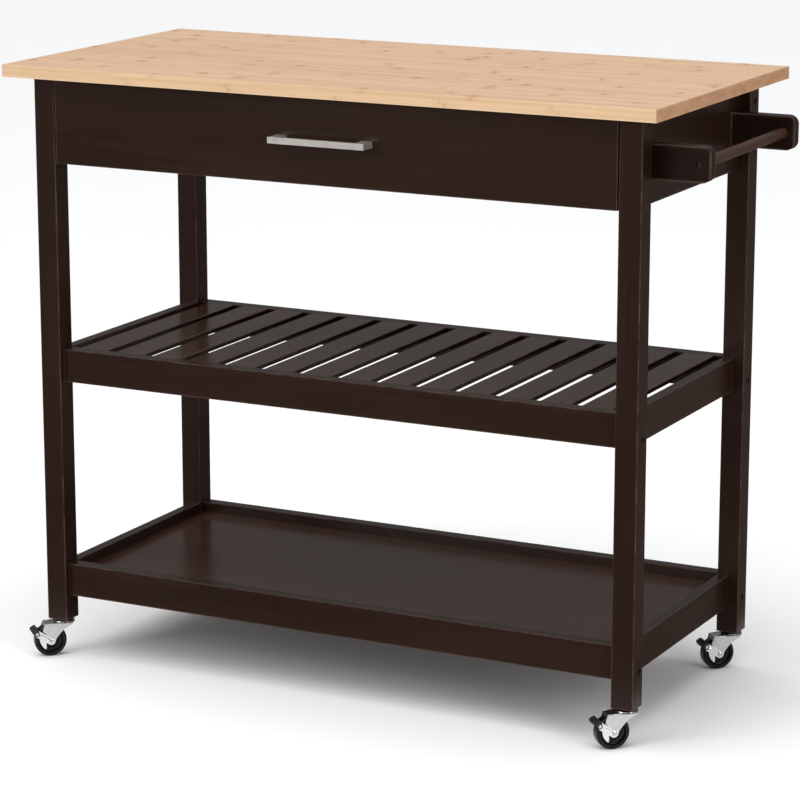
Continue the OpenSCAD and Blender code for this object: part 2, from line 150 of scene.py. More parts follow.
# ---------------------------------------------------------------- materials

ESPRESSO_DARK = (0.0118, 0.0049, 0.0029)
ESPRESSO = (0.0245, 0.0110, 0.0068)
# lighter brown for the arrises: lacquer worn thin there, and a painted highlight
ESPRESSO_WORN_AND_HIGHLIGHT = (0.100, 0.064, 0.050)
BAMBOO_LIGHT = (0.735, 0.520, 0.355)
BAMBOO_DARK = (0.575, 0.365, 0.222)
BAMBOO_EDGE = (0.540, 0.375, 0.205)
BAMBOO_NODE = (0.360, 0.150, 0.065)
BAMBOO_FIBRE = (0.440, 0.245, 0.135)
BAMBOO_ARRIS_HIGHLIGHT = (0.80, 0.60, 0.42)

# Widths and lengths of the worktop's strips, in metres
STRIP = 0.0196
LAYER = 0.0062
STRIP_LENGTH = 0.92
NODE_EVERY = 0.17

# Lowest roughness of the lacquer on each kind of board
BOARD_ROUGH = 0.27
RAIL_ROUGH = 0.24
PANEL_ROUGH = 0.18
SLAT_ROUGH = 0.16


def espresso(node, grain, period=None, tone=1.0, wear_and_highlight=1.0, rough=BOARD_ROUGH):
    """Dark stained wood under semi-gloss lacquer; its arrises lighter, partly lacquer worn thin and partly a painted
    highlight, and the slats' gap sides painted dark as shade.
    """
    low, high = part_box(node)
    paint = Paint("espresso_" + node, specular_ior_level=0.24, specular_tint=(1.0, 0.84, 0.80))
    paint.set(coat_weight=0.06, coat_roughness=0.12)
    shift = board_shift(node)
    pores = paint.noise(paint.place(stretched(grain, 6, 260), shift), 1.0, 5.0, 0.62, 0.3)
    figure = paint.noise(paint.place(stretched(grain, 1.3, 16), shift), 1.0, 3.0, 0.55, 1.2)
    cloud = paint.noise(paint.place((2.2, 2.2, 2.2), shift), 1.0, 2.0)
    stain = paint.math("MULTIPLY_ADD", figure, 0.75, paint.math("MULTIPLY", cloud, 0.35))
    dark = [c * tone for c in ESPRESSO_DARK]
    light = [c * tone for c in ESPRESSO]
    colour = paint.mix(paint.span(stain, 0.25, 0.85), dark, light)
    colour = paint.mix(paint.span(pores, 0.56, 0.70, 0.0, 0.55), colour, [c * 0.45 for c in dark])
    away = arris_distance(paint, low, high, period)
    patchy = paint.noise(paint.place((38, 38, 38), shift), 1.0, 3.0, 0.6)
    # wear and painted highlight: a lighter band along the arrises, in patches
    worn_and_highlight = paint.math(
        "MULTIPLY",
        paint.span(away, 0.0004, 0.0009 + 0.0012 * wear_and_highlight, 1.0, 0.0, True),
        paint.span(patchy, 0.38, 0.66, 0.18 * wear_and_highlight, 0.75),
    )
    colour = paint.mix(worn_and_highlight, colour, ESPRESSO_WORN_AND_HIGHLIGHT)
    if period:
        # painted shade: the slats' sides, down in the gaps, are darkened nearly to black
        depth = paint.math("SUBTRACT", high[Z], paint.axes()[Z])
        black = [c * 0.15 for c in ESPRESSO_DARK]
        colour = paint.mix(paint.span(depth, 0.0012, 0.0024, 0.0, 0.9), colour, black)
    paint.set(base_color=colour)
    smear = paint.noise(paint.place(stretched(grain, 3, 11), shift), 1.0, 3.0, 0.6)
    lacquer = paint.span(smear, 0.3, 0.7, rough, rough + 0.10)
    paint.set(roughness=paint.math("ADD", lacquer, paint.math("MULTIPLY", worn_and_highlight, 0.12)))
    relief = paint.math("MULTIPLY_ADD", pores, 0.7, paint.math("MULTIPLY", figure, 0.5))
    paint.set(normal=paint.bump(relief, 0.00005, 0.55))
    return paint.material


def bamboo():
    """Laminated bamboo strips along X, each its own tone, with reddish nodes across the strips."""
    low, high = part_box("worktop")
    paint = Paint("bamboo_worktop", specular_ior_level=0.3, coat_weight=0.04, coat_roughness=0.3)
    x, y, z = paint.axes()

    def random(value, salt):
        seed = paint.math("ADD", value, salt)
        return paint.node("TexWhiteNoise", {"W": seed}, noise_dimensions="1D").outputs["Value"]

    across = paint.math("DIVIDE", paint.math("SUBTRACT", y, low[Y]), STRIP)
    row = paint.math("FLOOR", across)
    in_row = paint.math("FRACT", across)
    layer = paint.math("FLOOR", paint.math("DIVIDE", paint.math("SUBTRACT", z, low[Z]), LAYER))
    strip_id = paint.math("MULTIPLY_ADD", layer, 57.0, row)
    along = paint.math("MULTIPLY_ADD", random(strip_id, 3.0), 0.9, x)
    joint = paint.math("FLOOR", paint.math("DIVIDE", along, STRIP_LENGTH))
    piece = paint.math("MULTIPLY_ADD", strip_id, 17.0, joint)
    tone = random(piece, 0.0)

    # colour of the strips: fibres, streaks and a broad drift
    own = paint.node("CombineXYZ", {0: paint.math("MULTIPLY", tone, 9.0), 1: y, 2: z}).outputs[0]
    own = paint.node("VectorMath", {0: own, 1: paint.place()}, operation="ADD").outputs[0]
    own_fine = paint.node("Mapping", {"Vector": own, "Scale": (3.2, 520, 520)}).outputs[0]
    own_wide = paint.node("Mapping", {"Vector": own, "Scale": (1.7, 110, 110)}).outputs[0]
    fibres = paint.noise(own_fine, 1.0, 4.0, 0.6, 0.2)
    streaks = paint.noise(own_wide, 1.0, 4.0, 0.65, 0.5)
    broad = paint.noise(paint.place((1.1, 7, 7)), 1.0, 2.0, 0.5)
    share = paint.math("MULTIPLY_ADD", streaks, 2.0, paint.math("MULTIPLY", tone, 0.22))
    share = paint.math("ADD", share, paint.math("MULTIPLY", broad, 0.25))
    colour = paint.mix(paint.span(share, 0.885, 1.585), BAMBOO_LIGHT, BAMBOO_DARK)
    colour = paint.mix(paint.span(fibres, 0.46, 0.72, 0.0, 0.60), colour, BAMBOO_FIBRE)

    # nodes: a bent, broken mark across a strip, at a different place on every strip
    bend = paint.noise(paint.place((55, 90, 90)), 1.0, 3.0, 0.6)
    walk = paint.math("MULTIPLY_ADD", bend, 0.016, x)
    walk = paint.math("MULTIPLY_ADD", random(strip_id, 11.0), NODE_EVERY, walk)
    step = paint.math("DIVIDE", walk, NODE_EVERY)
    chosen = random(paint.math("MULTIPLY_ADD", strip_id, 31.0, paint.math("FLOOR", step)), 7.0)
    off = paint.math("ABSOLUTE", paint.math("SUBTRACT", paint.math("FRACT", step), 0.5))
    off = paint.math("MULTIPLY", off, NODE_EVERY)
    line = paint.span(off, 0.0012, 0.0058, 1.0, 0.0, True)
    halo = paint.span(off, 0.003, 0.020, 0.34, 0.0, True)
    middle = paint.math("ABSOLUTE", paint.math("SUBTRACT", in_row, 0.5))
    front = paint.span(paint.math("SUBTRACT", y, low[Y]), 0.0003, 0.0012, 1.0, 0.0)
    back = paint.span(paint.math("SUBTRACT", high[Y], y), 0.0003, 0.0012, 1.0, 0.0)
    long_edge = paint.math("MAXIMUM", front, back)
    within = paint.math("MAXIMUM", paint.span(middle, 0.36, 0.50, 1.0, 0.0, True), long_edge)
    mark = paint.math("MULTIPLY", paint.math("MAXIMUM", line, halo), within)
    broken = paint.span(paint.noise(paint.place((150, 260, 260)), 1.0, 2.0), 0.32, 0.46)
    mark = paint.math("MULTIPLY", mark, paint.math("MULTIPLY", broken, paint.span(chosen, 0.15, 0.80, 0.0, 0.80)))
    colour = paint.mix(mark, colour, BAMBOO_NODE)
    seam = paint.math("SUBTRACT", 0.5, middle)
    seam = paint.math("ADD", seam, long_edge)
    colour = paint.mix(paint.span(seam, 0.0, 0.026, 0.16, 0.0, True), colour, BAMBOO_NODE)

    # the long edges are yellower; the short ones are end grain, browner, with the strips' cut ends
    colour = paint.mix(paint.math("MULTIPLY", long_edge, 0.5), colour, BAMBOO_EDGE)
    half = (high[X] - low[X]) / 2
    beyond = paint.math("ABSOLUTE", paint.math("SUBTRACT", x, (low[X] + high[X]) / 2))
    end = paint.span(beyond, half - 0.0012, half - 0.0003)
    dots = paint.noise(paint.place((40, 900, 900)), 1.0, 3.0, 0.7)
    grain_end = paint.mix(paint.span(dots, 0.35, 0.7), (0.520, 0.300, 0.165), (0.340, 0.165, 0.082))
    grain_end = paint.mix(paint.span(tone, 0.25, 0.85, 0.0, 0.45), grain_end, (0.300, 0.155, 0.085))
    colour = paint.mix(end, colour, grain_end)
    away = arris_distance(paint, low, high)
    # painted highlight: a paler colour along the worktop's arrises
    colour = paint.mix(paint.span(away, 0.0, 0.0022, 0.18, 0.0, True), colour, BAMBOO_ARRIS_HIGHLIGHT)
    paint.set(base_color=colour)
    paint.set(roughness=paint.span(streaks, 0.3, 0.75, 0.42, 0.56))
    relief = paint.math("MULTIPLY_ADD", fibres, 0.6, paint.math("MULTIPLY", mark, -0.8))
    paint.set(normal=paint.bump(relief, 0.00006, 0.6))
    return paint.material


def plywood(node, grain, thickness_axis):
    """Clear-lacquered birch plywood with its plies showing on the edges."""
    low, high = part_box(node)
    paint = Paint("birch_" + node, specular_ior_level=0.4, coat_weight=0.1, coat_roughness=0.3)
    shift = board_shift(node)
    figure = paint.noise(paint.place(stretched(grain, 2.2, 34), shift), 1.0, 4.0, 0.6, 1.6)
    fine = paint.noise(paint.place(stretched(grain, 8, 420), shift), 1.0, 3.0, 0.6)
    colour = paint.mix(paint.span(figure, 0.3, 0.72), (0.70, 0.53, 0.34), (0.52, 0.35, 0.19))
    colour = paint.mix(paint.span(fine, 0.52, 0.72, 0.0, 0.35), colour, (0.40, 0.25, 0.13))
    depth = paint.math("SUBTRACT", paint.axes()[thickness_axis], low[thickness_axis])
    layer = paint.math("PINGPONG", paint.math("ADD", depth, 0.0007), 0.0014)
    inside = arris_distance(paint, low, high)
    edge = paint.math("MULTIPLY", paint.span(layer, 0.0006, 0.0009), paint.span(inside, 0.0, 0.0005))
    face = paint.math("SUBTRACT", high[thickness_axis] - low[thickness_axis], depth)
    off_face = paint.span(paint.math("MINIMUM", depth, face), 0.0003, 0.0009)
    colour = paint.mix(paint.math("MULTIPLY", edge, off_face), colour, (0.27, 0.145, 0.07))
    paint.set(base_color=colour, roughness=paint.span(figure, 0.3, 0.7, 0.38, 0.5))
    paint.set(normal=paint.bump(fine, 0.00005, 0.4))
    return paint.material


def hardwood(node, grain):
    """Plain beech with its short flecks, a little polished along the arrises."""
    low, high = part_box(node)
    paint = Paint("beech_" + node, specular_ior_level=0.35)
    shift = board_shift(node)
    figure = paint.noise(paint.place(stretched(grain, 3, 60), shift), 1.0, 4.0, 0.6, 0.8)
    flecks = paint.noise(paint.place(stretched(grain, 70, 700), shift), 1.0, 2.0, 0.5)
    colour = paint.mix(paint.span(figure, 0.3, 0.72), (0.62, 0.40, 0.22), (0.47, 0.28, 0.14))
    colour = paint.mix(paint.span(flecks, 0.6, 0.72, 0.0, 0.5), colour, (0.26, 0.13, 0.06))
    polished = paint.span(arris_distance(paint, low, high), 0.0, 0.002, 0.35, 0.5)
    paint.set(base_color=colour, roughness=polished, normal=paint.bump(flecks, 0.00005, 0.5))
    return paint.material


def metal(name, colour, rough, streak=None, patina=0.12, scratches=0.5, metallic=1.0):
    """Plated metal: cloudy roughness, faint stains and fine scratches, brushed along an axis if asked."""
    paint = Paint(name, metallic=metallic)
    cloud = paint.noise(paint.place((60, 60, 60)), 1.0, 4.0, 0.6)
    hair = paint.noise(paint.place(streak or (900, 900, 120)), 1.0, 4.0, 0.7, 0.4)
    stain = paint.noise(paint.place((190, 190, 190)), 1.0, 3.0, 0.65, 0.5)
    bright, dull, stained = [[c * share for c in colour] for share in (1.06, 0.72, 0.55)]
    brushed = paint.mix(paint.span(hair, 0.35, 0.65, 0.0, 0.30 if streak else 0.06), bright, dull)
    paint.set(base_color=paint.mix(paint.span(stain, 0.42, 0.75, 0.0, patina * 3), brushed, stained))
    base = paint.span(cloud, 0.3, 0.7, rough * 0.75, rough * 1.35)
    paint.set(roughness=paint.math("ADD", base, paint.span(hair, 0.45, 0.75, 0.0, 0.10 * scratches)))
    paint.set(normal=paint.bump(hair, 0.00002, scratches))
    return paint.material


def black_plastic(name, colour, rough, dust=0.25):
    """Moulded black plastic with a fine mould texture and a little dust in patches."""
    paint = Paint(name, specular_ior_level=0.22)
    grainy = paint.noise(paint.place((1500, 1500, 1500)), 1.0, 2.0, 0.5)
    cloud = paint.noise(paint.place((75, 75, 75)), 1.0, 5.0, 0.65)
    colour_out = paint.mix(paint.span(cloud, 0.50, 0.80, 0.0, dust), colour, (0.085, 0.078, 0.070))
    paint.set(base_color=colour_out)
    paint.set(roughness=paint.span(cloud, 0.3, 0.75, rough, rough + 0.22))
    paint.set(normal=paint.bump(grainy, 0.00002, 0.35))
    return paint.material


# ---------------------------------------------------------------- CAD nodes: arrises and paint


WELD_DISTANCE = 1e-5
FLAT_ANGLE = math.radians(0.5)
ARRIS_ANGLE = math.radians(40)
ARRIS_SEGMENTS = 3


def ease(piece, width):
    """Rounds a CAD object's arrises with modifiers; its own mesh stays as packed."""
    weld = piece.modifiers.new("weld", "WELD")
    weld.merge_threshold = WELD_DISTANCE
    flat = piece.modifiers.new("flat", "DECIMATE")
    flat.decimate_type = "DISSOLVE"
    flat.angle_limit = FLAT_ANGLE
    bevel = piece.modifiers.new("ease", "BEVEL")
    bevel.width = width
    bevel.segments = ARRIS_SEGMENTS
    bevel.limit_method = "ANGLE"
    bevel.angle_limit = ARRIS_ANGLE
    normals = piece.modifiers.new("normals", "WEIGHTED_NORMAL")
    normals.keep_sharp = True


def paint_node(node, material, arris=0.0):
    """Puts a material on a CAD node, and rounds its arrises by a width in metres."""
    piece = NODES[node]
    piece.data.materials.clear()
    piece.data.materials.append(material)
    if arris:
        ease(piece, arris)


LEGS = ["leg_front_left", "leg_front_right", "leg_back_left", "leg_back_right"]
ALONG_X = [
    "back_apron", "front_stretcher", "top_cleat", "mid_rail_front", "mid_rail_back", "slat_cleats",
    "low_rail_front", "low_rail_back", "panel_cleats", "drawer_front",
]
ALONG_Y = [
    "side_apron_left", "side_apron_right", "mid_rail_left", "mid_rail_right", "low_rail_left", "low_rail_right",
]
BOARD_ARRIS = 0.0011
SLATS = 14
SLAT_GAP = 0.017

for name in LEGS:
    paint_node(name, espresso(name, Z), 0.0007)
for name in ALONG_X + ALONG_Y:
    grain = X if name in ALONG_X else Y
    rough = RAIL_ROUGH if "_rail_" in name else BOARD_ROUGH
    paint_node(name, espresso(name, grain, rough=rough), BOARD_ARRIS)
# painted shade: the brackets' base colour is darkened; their wider, stronger arris band is a painted highlight on
# the rounded end edges, with some wear
for name in ("rack_bracket_front", "rack_bracket_back"):
    paint_node(name, espresso(name, X, tone=0.6, wear_and_highlight=2.4), 0.0018)
paint_node("towel_bar", espresso("towel_bar", Y, tone=2.6), 0.0008)
# painted light: the bottom panel's base colour is raised well above the frame's to stand in for the light reaching
# it under the shelves
paint_node("bottom_panel", espresso("bottom_panel", X, tone=2.2, rough=PANEL_ROUGH), 0.0006)

slat_low, slat_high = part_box("shelf_slats")
slat_width = (slat_high.x - slat_low.x - (SLATS - 1) * SLAT_GAP) / SLATS
slat_period = (slat_low.x, slat_width + SLAT_GAP, slat_width)
# painted light: the slats' base colour is raised to stand in for the light falling on the middle shelf
paint_node("shelf_slats", espresso("shelf_slats", Y, slat_period, 2.2, rough=SLAT_ROUGH), BOARD_ARRIS)
paint_node("worktop", bamboo(), 0.0018)

for name in ("drawer_side_left", "drawer_side_right"):
    paint_node(name, plywood(name, Y, X), 0.0004)
paint_node("drawer_back", plywood("drawer_back", X, Y), 0.0004)
paint_node("drawer_bottom", plywood("drawer_bottom", X, Z))
for name in ("drawer_runner_left", "drawer_runner_right"):
    paint_node(name, hardwood(name, Y), 0.0008)
paint_node("joint_dowels", hardwood("joint_dowels", Y))

brushed_along_x = (14, 1400, 1400)
nickel = metal("satin_nickel", (0.66, 0.645, 0.62), 0.34, brushed_along_x, patina=0.02, scratches=0.8, metallic=0.8)
zinc = metal("zinc_plate", (0.60, 0.61, 0.62), 0.26)
dark_steel = metal("dark_oxide", (0.085, 0.078, 0.074), 0.33, patina=0.2)
chrome = metal("caster_chrome", (0.56, 0.56, 0.555), 0.13, patina=0.06, scratches=0.35)
bright_strip = metal("bright_strip", (0.80, 0.80, 0.79), 0.18, streak=(120, 900, 900), patina=0.05)
nylon = black_plastic("black_nylon", (0.0022, 0.0022, 0.0025), 0.09, dust=0.05)
pad_plastic = black_plastic("brake_pad_plastic", (0.014, 0.014, 0.015), 0.36)

paint_node("drawer_handle", nickel, 0.0009)
paint_node("frame_bolts", dark_steel)
paint_node("barrel_nuts", zinc)
paint_node("worktop_screws", zinc)
paint_node("handle_screws", zinc, 0.0003)

# ---------------------------------------------------------------- mesh building

MERGE_DISTANCE = 1e-7
BEVEL_SEGMENTS = 2


def make(name, bm, material, bevel=0.0, smooth=35):
    """An object from a bmesh, closed, its arrises rounded and its curves shaded smooth up to an angle in degrees."""

    def is_sharp(edge):
        return edge.is_manifold and edge.calc_face_angle(0) > math.radians(smooth)

    bmesh.ops.remove_doubles(bm, verts=bm.verts, dist=MERGE_DISTANCE)
    bmesh.ops.recalc_face_normals(bm, faces=bm.faces)
    if bevel:
        sharp = [edge for edge in bm.edges if is_sharp(edge)]
        bmesh.ops.bevel(
            bm, geom=sharp, offset=bevel, segments=BEVEL_SEGMENTS, affect="EDGES", clamp_overlap=True
        )
    for face in bm.faces:
        face.smooth = True
    for edge in bm.edges:
        edge.smooth = not is_sharp(edge)
    mesh = bpy.data.meshes.new(name)
    bm.to_mesh(mesh)
    bm.free()
    mesh.materials.append(material)
    return place_mesh(name, mesh)


def place_mesh(name, mesh):
    made = bpy.data.objects.new(name, mesh)
    bpy.context.scene.collection.objects.link(made)
    return made


def circle(radius, degrees):
    """Points of a circle round the origin, at the given angles."""
    return [(radius * math.cos(math.radians(a)), radius * math.sin(math.radians(a))) for a in degrees]


def arc(centre, radius, start, stop, count=12):
    """Points along an arc, angles in degrees."""
    step = (stop - start) / count
    turns = [math.radians(start + step * i) for i in range(count + 1)]
    return [(centre[0] + radius * math.cos(turn), centre[1] + radius * math.sin(turn)) for turn in turns]


def ring_at(bm, outline, height, axis):
    """Vertices for an outline at a height along an axis; its millimetre pairs are the other two axes in order."""
    made = []
    for pair in outline:
        co = list(pair)
        co.insert(axis, height)
        made.append(bm.verts.new(Vector(co) * MM))
    return made


def join(bm, first, second):
    """Faces between two rings with the same number of vertices."""
    for i in range(len(first)):
        j = (i + 1) % len(first)
        bm.faces.new([first[i], first[j], second[j], second[i]])


def fill_between(bm, outer, inner):
    """A flat face between an outline and a hole."""
    edges = []
    for ring in (outer, inner):
        edges += [bm.edges.new((ring[i], ring[(i + 1) % len(ring)])) for i in range(len(ring))]
    bmesh.ops.triangle_fill(bm, edges=edges, use_beauty=True)


def lathe(bm, profile, axis, at=(0, 0, 0), count=72):
    """Turns (radius, height) pairs in millimetres round X or Z through a point; closes onto the axis at radius 0."""
    turn = Matrix.Rotation(math.pi / 2, 4, "Y") if axis == X else Matrix.Identity(4)
    place = Matrix.Translation(Vector(at) * MM) @ turn
    rings = []
    for radius, height in profile:
        if radius == 0:
            rings.append([bm.verts.new(place @ Vector((0, 0, height * MM)))])
            continue
        ring = []
        for i in range(count):
            a = 2 * math.pi * i / count
            spot = Vector((radius * math.cos(a), radius * math.sin(a), height))
            ring.append(bm.verts.new(place @ (spot * MM)))
        rings.append(ring)
    for low, high in zip(rings, rings[1:]):
        for i in range(count):
            j = (i + 1) % count
            quad = [low[i % len(low)], low[j % len(low)], high[j % len(high)], high[i % len(high)]]
            quad = list(dict.fromkeys(quad))
            if len(quad) > 2:
                bm.faces.new(quad)
    return rings


def prism(bm, outline, low, high, axis):
    """Extrudes an outline from low to high along an axis."""
    bottom = ring_at(bm, outline, low, axis)
    top = ring_at(bm, outline, high, axis)
    bm.faces.new(bottom)
    bm.faces.new(top)
    join(bm, bottom, top)


def holed_plate(bm, outline, hole, low, high, axis):
    """A flat plate with one hole, from low to high along an axis."""
    levels = []
    for height in (low, high):
        outer = ring_at(bm, outline, height, axis)
        inner = ring_at(bm, hole, height, axis)
        fill_between(bm, outer, inner)
        levels.append((outer, inner))
    for low_ring, high_ring in zip(*levels):
        join(bm, low_ring, high_ring)


def slope_plate(bm, outline, foot, crest, share):
    """A raised pad in Y and Z whose crest is the outline drawn in towards its middle."""
    middle = sum((Vector(p) for p in outline), Vector((0, 0))) / len(outline)
    low = ring_at(bm, outline, foot, X)
    high = ring_at(bm, [middle + (Vector(p) - middle) * share for p in outline], crest, X)
    bm.faces.new(low)
    bm.faces.new(high)
    join(bm, low, high)


# ---------------------------------------------------------------- casters

# Millimetres, in a caster's own axes: swivel axis at X = Y = 0, wheel trailing towards -Y, floor at Z = 0
TRAIL = 22
WHEEL_R = 25
CHEEK_IN = 10
CHEEK_OUT = 11.6
ARM_IN = 11.9
ARM_OUT = 13.1
PLATE_LOW = 51.5
PLATE_HIGH = 53.5
RACE_R = 17
LEG_UNDER = 59
AXLE = (0, -TRAIL, WHEEL_R)
PAD_RIVET = (-22.6, 13.2)
BORE_ANGLES = range(0, 360, 15)
HEXAGON = 6


def around(points):
    """Moves [y, z] pairs given from the axle to the caster's own axes."""
    return [(y - TRAIL, z + WHEEL_R) for y, z in points]


def caster_stem_mesh():
    bm = bmesh.new()
    lathe(bm, [(0, LEG_UNDER), (5, LEG_UNDER), (5, 88), (4.2, 89), (0, 89)], Z, count=32)
    collar = [(0, 56.3), (8.6, 56.3), (9, 56.7), (9, 58.7), (8.6, LEG_UNDER), (0, LEG_UNDER)]
    lathe(bm, collar, Z, count=HEXAGON)
    race = [
        (0, 54.0), (12.5, 54.0), (13.2, 54.25), (16.0, 54.25), (16.8, 54.45), (17.0, 54.95),
        (16.7, 55.5), (15.6, 55.9), (13.0, 56.1), (10.4, 56.5), (0, 56.5),
    ]
    lathe(bm, race, Z)
    lathe(bm, [(0, 51.2), (4, 51.2), (4, 54.1), (0, 54.1)], Z, count=32)
    lathe(bm, [(0, 49.3), (4.6, 49.3), (6.1, 49.9), (6.5, 50.6), (6.3, 51.2), (0, 51.2)], Z, count=40)
    return bm


def caster_fork_mesh():
    bm = bmesh.new()
    # pressed top plate: round under the race, square towards the wheel
    outline = arc((0, 0), RACE_R, -22, 202, 40)
    outline += [(-CHEEK_OUT, -24), (-CHEEK_OUT, -30), (-CHEEK_OUT + 1.6, -31.4), (CHEEK_OUT - 1.6, -31.4)]
    outline += [(CHEEK_OUT, -30), (CHEEK_OUT, -24)]
    holed_plate(bm, outline, circle(4.1, BORE_ANGLES), PLATE_LOW + 0.4, PLATE_HIGH - 0.7, Z)
    # raised lower race on the plate
    race = [
        (10.5, 52.6), (15.6, 52.6), (16.4, 52.7), (16.9, 53.1),
        (16.4, 53.4), (14.8, 53.5), (12.6, 53.2), (10.9, 53.4),
    ]
    rings = lathe(bm, race, Z)
    join(bm, rings[-1], rings[0])
    for side in (-1, 1):
        cheek(bm, side)
    # front lip that folds down over the wheel
    lip = [(-31.6, 52.6), (-31.9, 50.4), (-33.2, 46.2), (-32.5, 45.9), (-31.0, 50.2), (-30.6, 52.0)]
    prism(bm, lip, -CHEEK_IN - 0.2, CHEEK_IN + 0.2, X)
    return bm


def cheek(bm, side):
    """One pressed cheek: a flat main face, a folded front flange that leans in, and a boss round the axle."""
    rear = [(34, 28.0), (34, 24.2), (30.5, 22.6), (25.5, 20.2), (20.5, 17.0), (15.5, 12.6), (11.2, 7.6), (7.6, 2.6)]
    boss = circle(6.4, range(-8, -172, -14))
    fold = [(-6.2, 0.6), (-6.6, 6.0), (-7.2, 12.0), (-7.9, 19.0), (-8.6, 28.0)]
    front = [(-6.2, 0.6), (-10.2, 5.6), (-12.6, 11.0), (-12.4, 18.0), (-9.6, 28.0)]
    lean = [0.0, 1.3, 1.8, 1.8, 1.4]
    outer, inner = side * CHEEK_OUT, side * CHEEK_IN

    def put(points, x, shifts=None):
        made = []
        for i, (y, z) in enumerate(around(points)):
            off = shifts[i] * side if shifts else 0
            made.append(bm.verts.new(Vector((x - off, y, z)) * MM))
        return made

    faces = []
    for x in (outer, inner):
        main = put(rear + boss[1:] + fold, x)
        flange = put(front[1:], x, lean[1:] if x == outer else [v * 0.28 for v in lean[1:]])
        count = len(fold)
        bm.faces.new(main)
        fold_verts = main[-count:]
        rim = [fold_verts[0], *flange]
        for i in range(count - 1):
            quad = list(dict.fromkeys([fold_verts[i], rim[i], rim[i + 1], fold_verts[i + 1]]))
            bm.faces.new(quad)
        faces.append(main[: -count + 1] + flange)
    join(bm, *faces)


def caster_axle_mesh():
    bm = bmesh.new()
    lathe(bm, [(0, -13.2), (3, -13.2), (3, 13.2), (0, 13.2)], X, AXLE, count=32)
    head = [(0, 13.2), (3.7, 13.2), (3.8, 13.6), (3.4, 14.4), (2.1, 14.9), (0, 15.0)]
    lathe(bm, head, X, AXLE, count=40)
    nut = [(0, -13.2), (4.4, -13.2), (4.4, -14.8), (4.0, -15.1), (0, -15.1)]
    lathe(bm, nut, X, AXLE, count=HEXAGON)
    return bm


def caster_wheel_mesh():
    # half the section, from the bore over the hub, the recess and the rim to the middle of the tread
    half = [
        (3.1, 9.0), (5.6, 9.0), (6.3, 8.7), (6.5, 8.0), (6.7, 6.2), (7.3, 5.7), (9.3, 5.6), (9.9, 5.9),
        (10.1, 6.8), (10.6, 7.2), (11.4, 7.2), (11.9, 6.7), (12.1, 5.9), (12.8, 5.5), (16.6, 5.5), (17.5, 5.8),
        (18.1, 6.9), (18.7, 8.3), (19.5, 8.9), (20.6, 9.0), (22.3, 9.0), (23.4, 8.7), (24.2, 8.0), (24.7, 7.0),
        (24.92, 5.6), (25.0, 3.6), (25.0, 1.2), (24.93, 0.5), (24.88, 0.0),
    ]
    profile = half + [(radius, -height) for radius, height in reversed(half[:-1])]
    bm = bmesh.new()
    rings = lathe(bm, profile, X, AXLE, count=112)
    join(bm, rings[-1], rings[0])
    # spokes across the recess on both faces
    for side in (-1, 1):
        for i in range(6):
            angle = math.pi / 3 * i + 0.26
            along = Vector((math.cos(angle), math.sin(angle)))
            across = Vector((-along.y, along.x))
            corners = [along * 11.6 + across * 0.75, along * 11.6 - across * 0.75]
            corners += [along * 18.2 - across * 0.55, along * 18.2 + across * 0.55]
            outline = around([(c.x, c.y) for c in corners])
            prism(bm, outline, *sorted((side * 5.2, side * 6.9)), X)
    return bm


def caster_brake_mesh():
    bm = bmesh.new()
    arm = arc((0, 0), 5.6, -120, 75, 16)
    arm += [(-3.6, 7.8), (-9.0, 11.2), (-14.0, 14.4), (-18.5, 17.4), (-21.6, 19.4), (-24.5, 18.6)]
    arm += [(-27.0, 16.6), (-28.0, 14.2), (-27.2, 11.4), (-24.2, 8.6), (-17.0, 3.8), (-9.0, -1.6)]
    bore = around(circle(3.1, BORE_ANGLES))
    for side in (-1, 1):
        holed_plate(bm, around(arm), bore, *sorted((side * ARM_IN, side * ARM_OUT)), X)
        # pressed rib along the arm, and a flange folded out of its lower edge
        rib = [(-2.4, -1.6), (-1.0, 1.4), (-3.4, 4.6), (-16.5, 12.4), (-18.9, 11.6), (-19.2, 9.6), (-17.6, 8.0)]
        slope_plate(bm, around(rib), side * (ARM_OUT - 0.1), side * (ARM_OUT + 1.0), 0.72)
        flange = [(-8.4, -1.8), (-18.6, 4.4), (-18.0, 0.6), (-16.2, -4.4)]
        flange += [(-12.8, -9.4), (-8.9, -12.8), (-7.8, -9.0)]
        prism(bm, around(flange), *sorted((side * 11.2, side * 12.2)), X)
    # cross piece under the pad
    bridge = [(-21.6, 19.3), (-24.5, 18.5), (-27.0, 16.5), (-28.2, 14.6)]
    bridge += [(-27.2, 13.6), (-25.6, 14.8), (-22.4, 16.8)]
    prism(bm, around(bridge), -ARM_OUT + 0.1, ARM_OUT - 0.1, X)
    return bm


def caster_pad_mesh():
    bm = bmesh.new()
    tread = [(-20.6, 19.4), (-21.0, 20.8), (-22.2, 21.3), (-28.0, 18.4), (-29.4, 16.8), (-29.2, 14.0)]
    tread += [(-28.4, 13.0), (-27.9, 14.6), (-27.0, 16.7), (-24.5, 18.7), (-21.6, 19.5)]
    prism(bm, around(tread), -12.4, 12.4, X)
    # sides that wrap the arms' ends
    wrap = arc(PAD_RIVET, 4.6, -150, -10, 10)
    wrap += [(-19.2, 17.2), (-20.4, 19.6), (-22.2, 20.8), (-27.8, 18.0), (-29.0, 16.6), (-28.8, 14.2), (-27.6, 12.0)]
    for side in (-1, 1):
        slope_plate(bm, around(wrap), side * ARM_OUT, side * (ARM_OUT + 0.9), 0.9)
    # ribs under the toe
    along = Vector((-5.8, -2.9)).normalized()
    up = Vector((along.y, -along.x))
    for i in range(4):
        foot = Vector((-22.6, 21.05)) + along * (0.5 + 1.4 * i)
        corners = [foot - up * 0.5, foot + along * 0.7 - up * 0.5]
        corners += [foot + along * 0.6 + up * 0.35, foot + along * 0.1 + up * 0.35]
        prism(bm, around([(c.x, c.y) for c in corners]), -11.5, 11.5, X)
    return bm


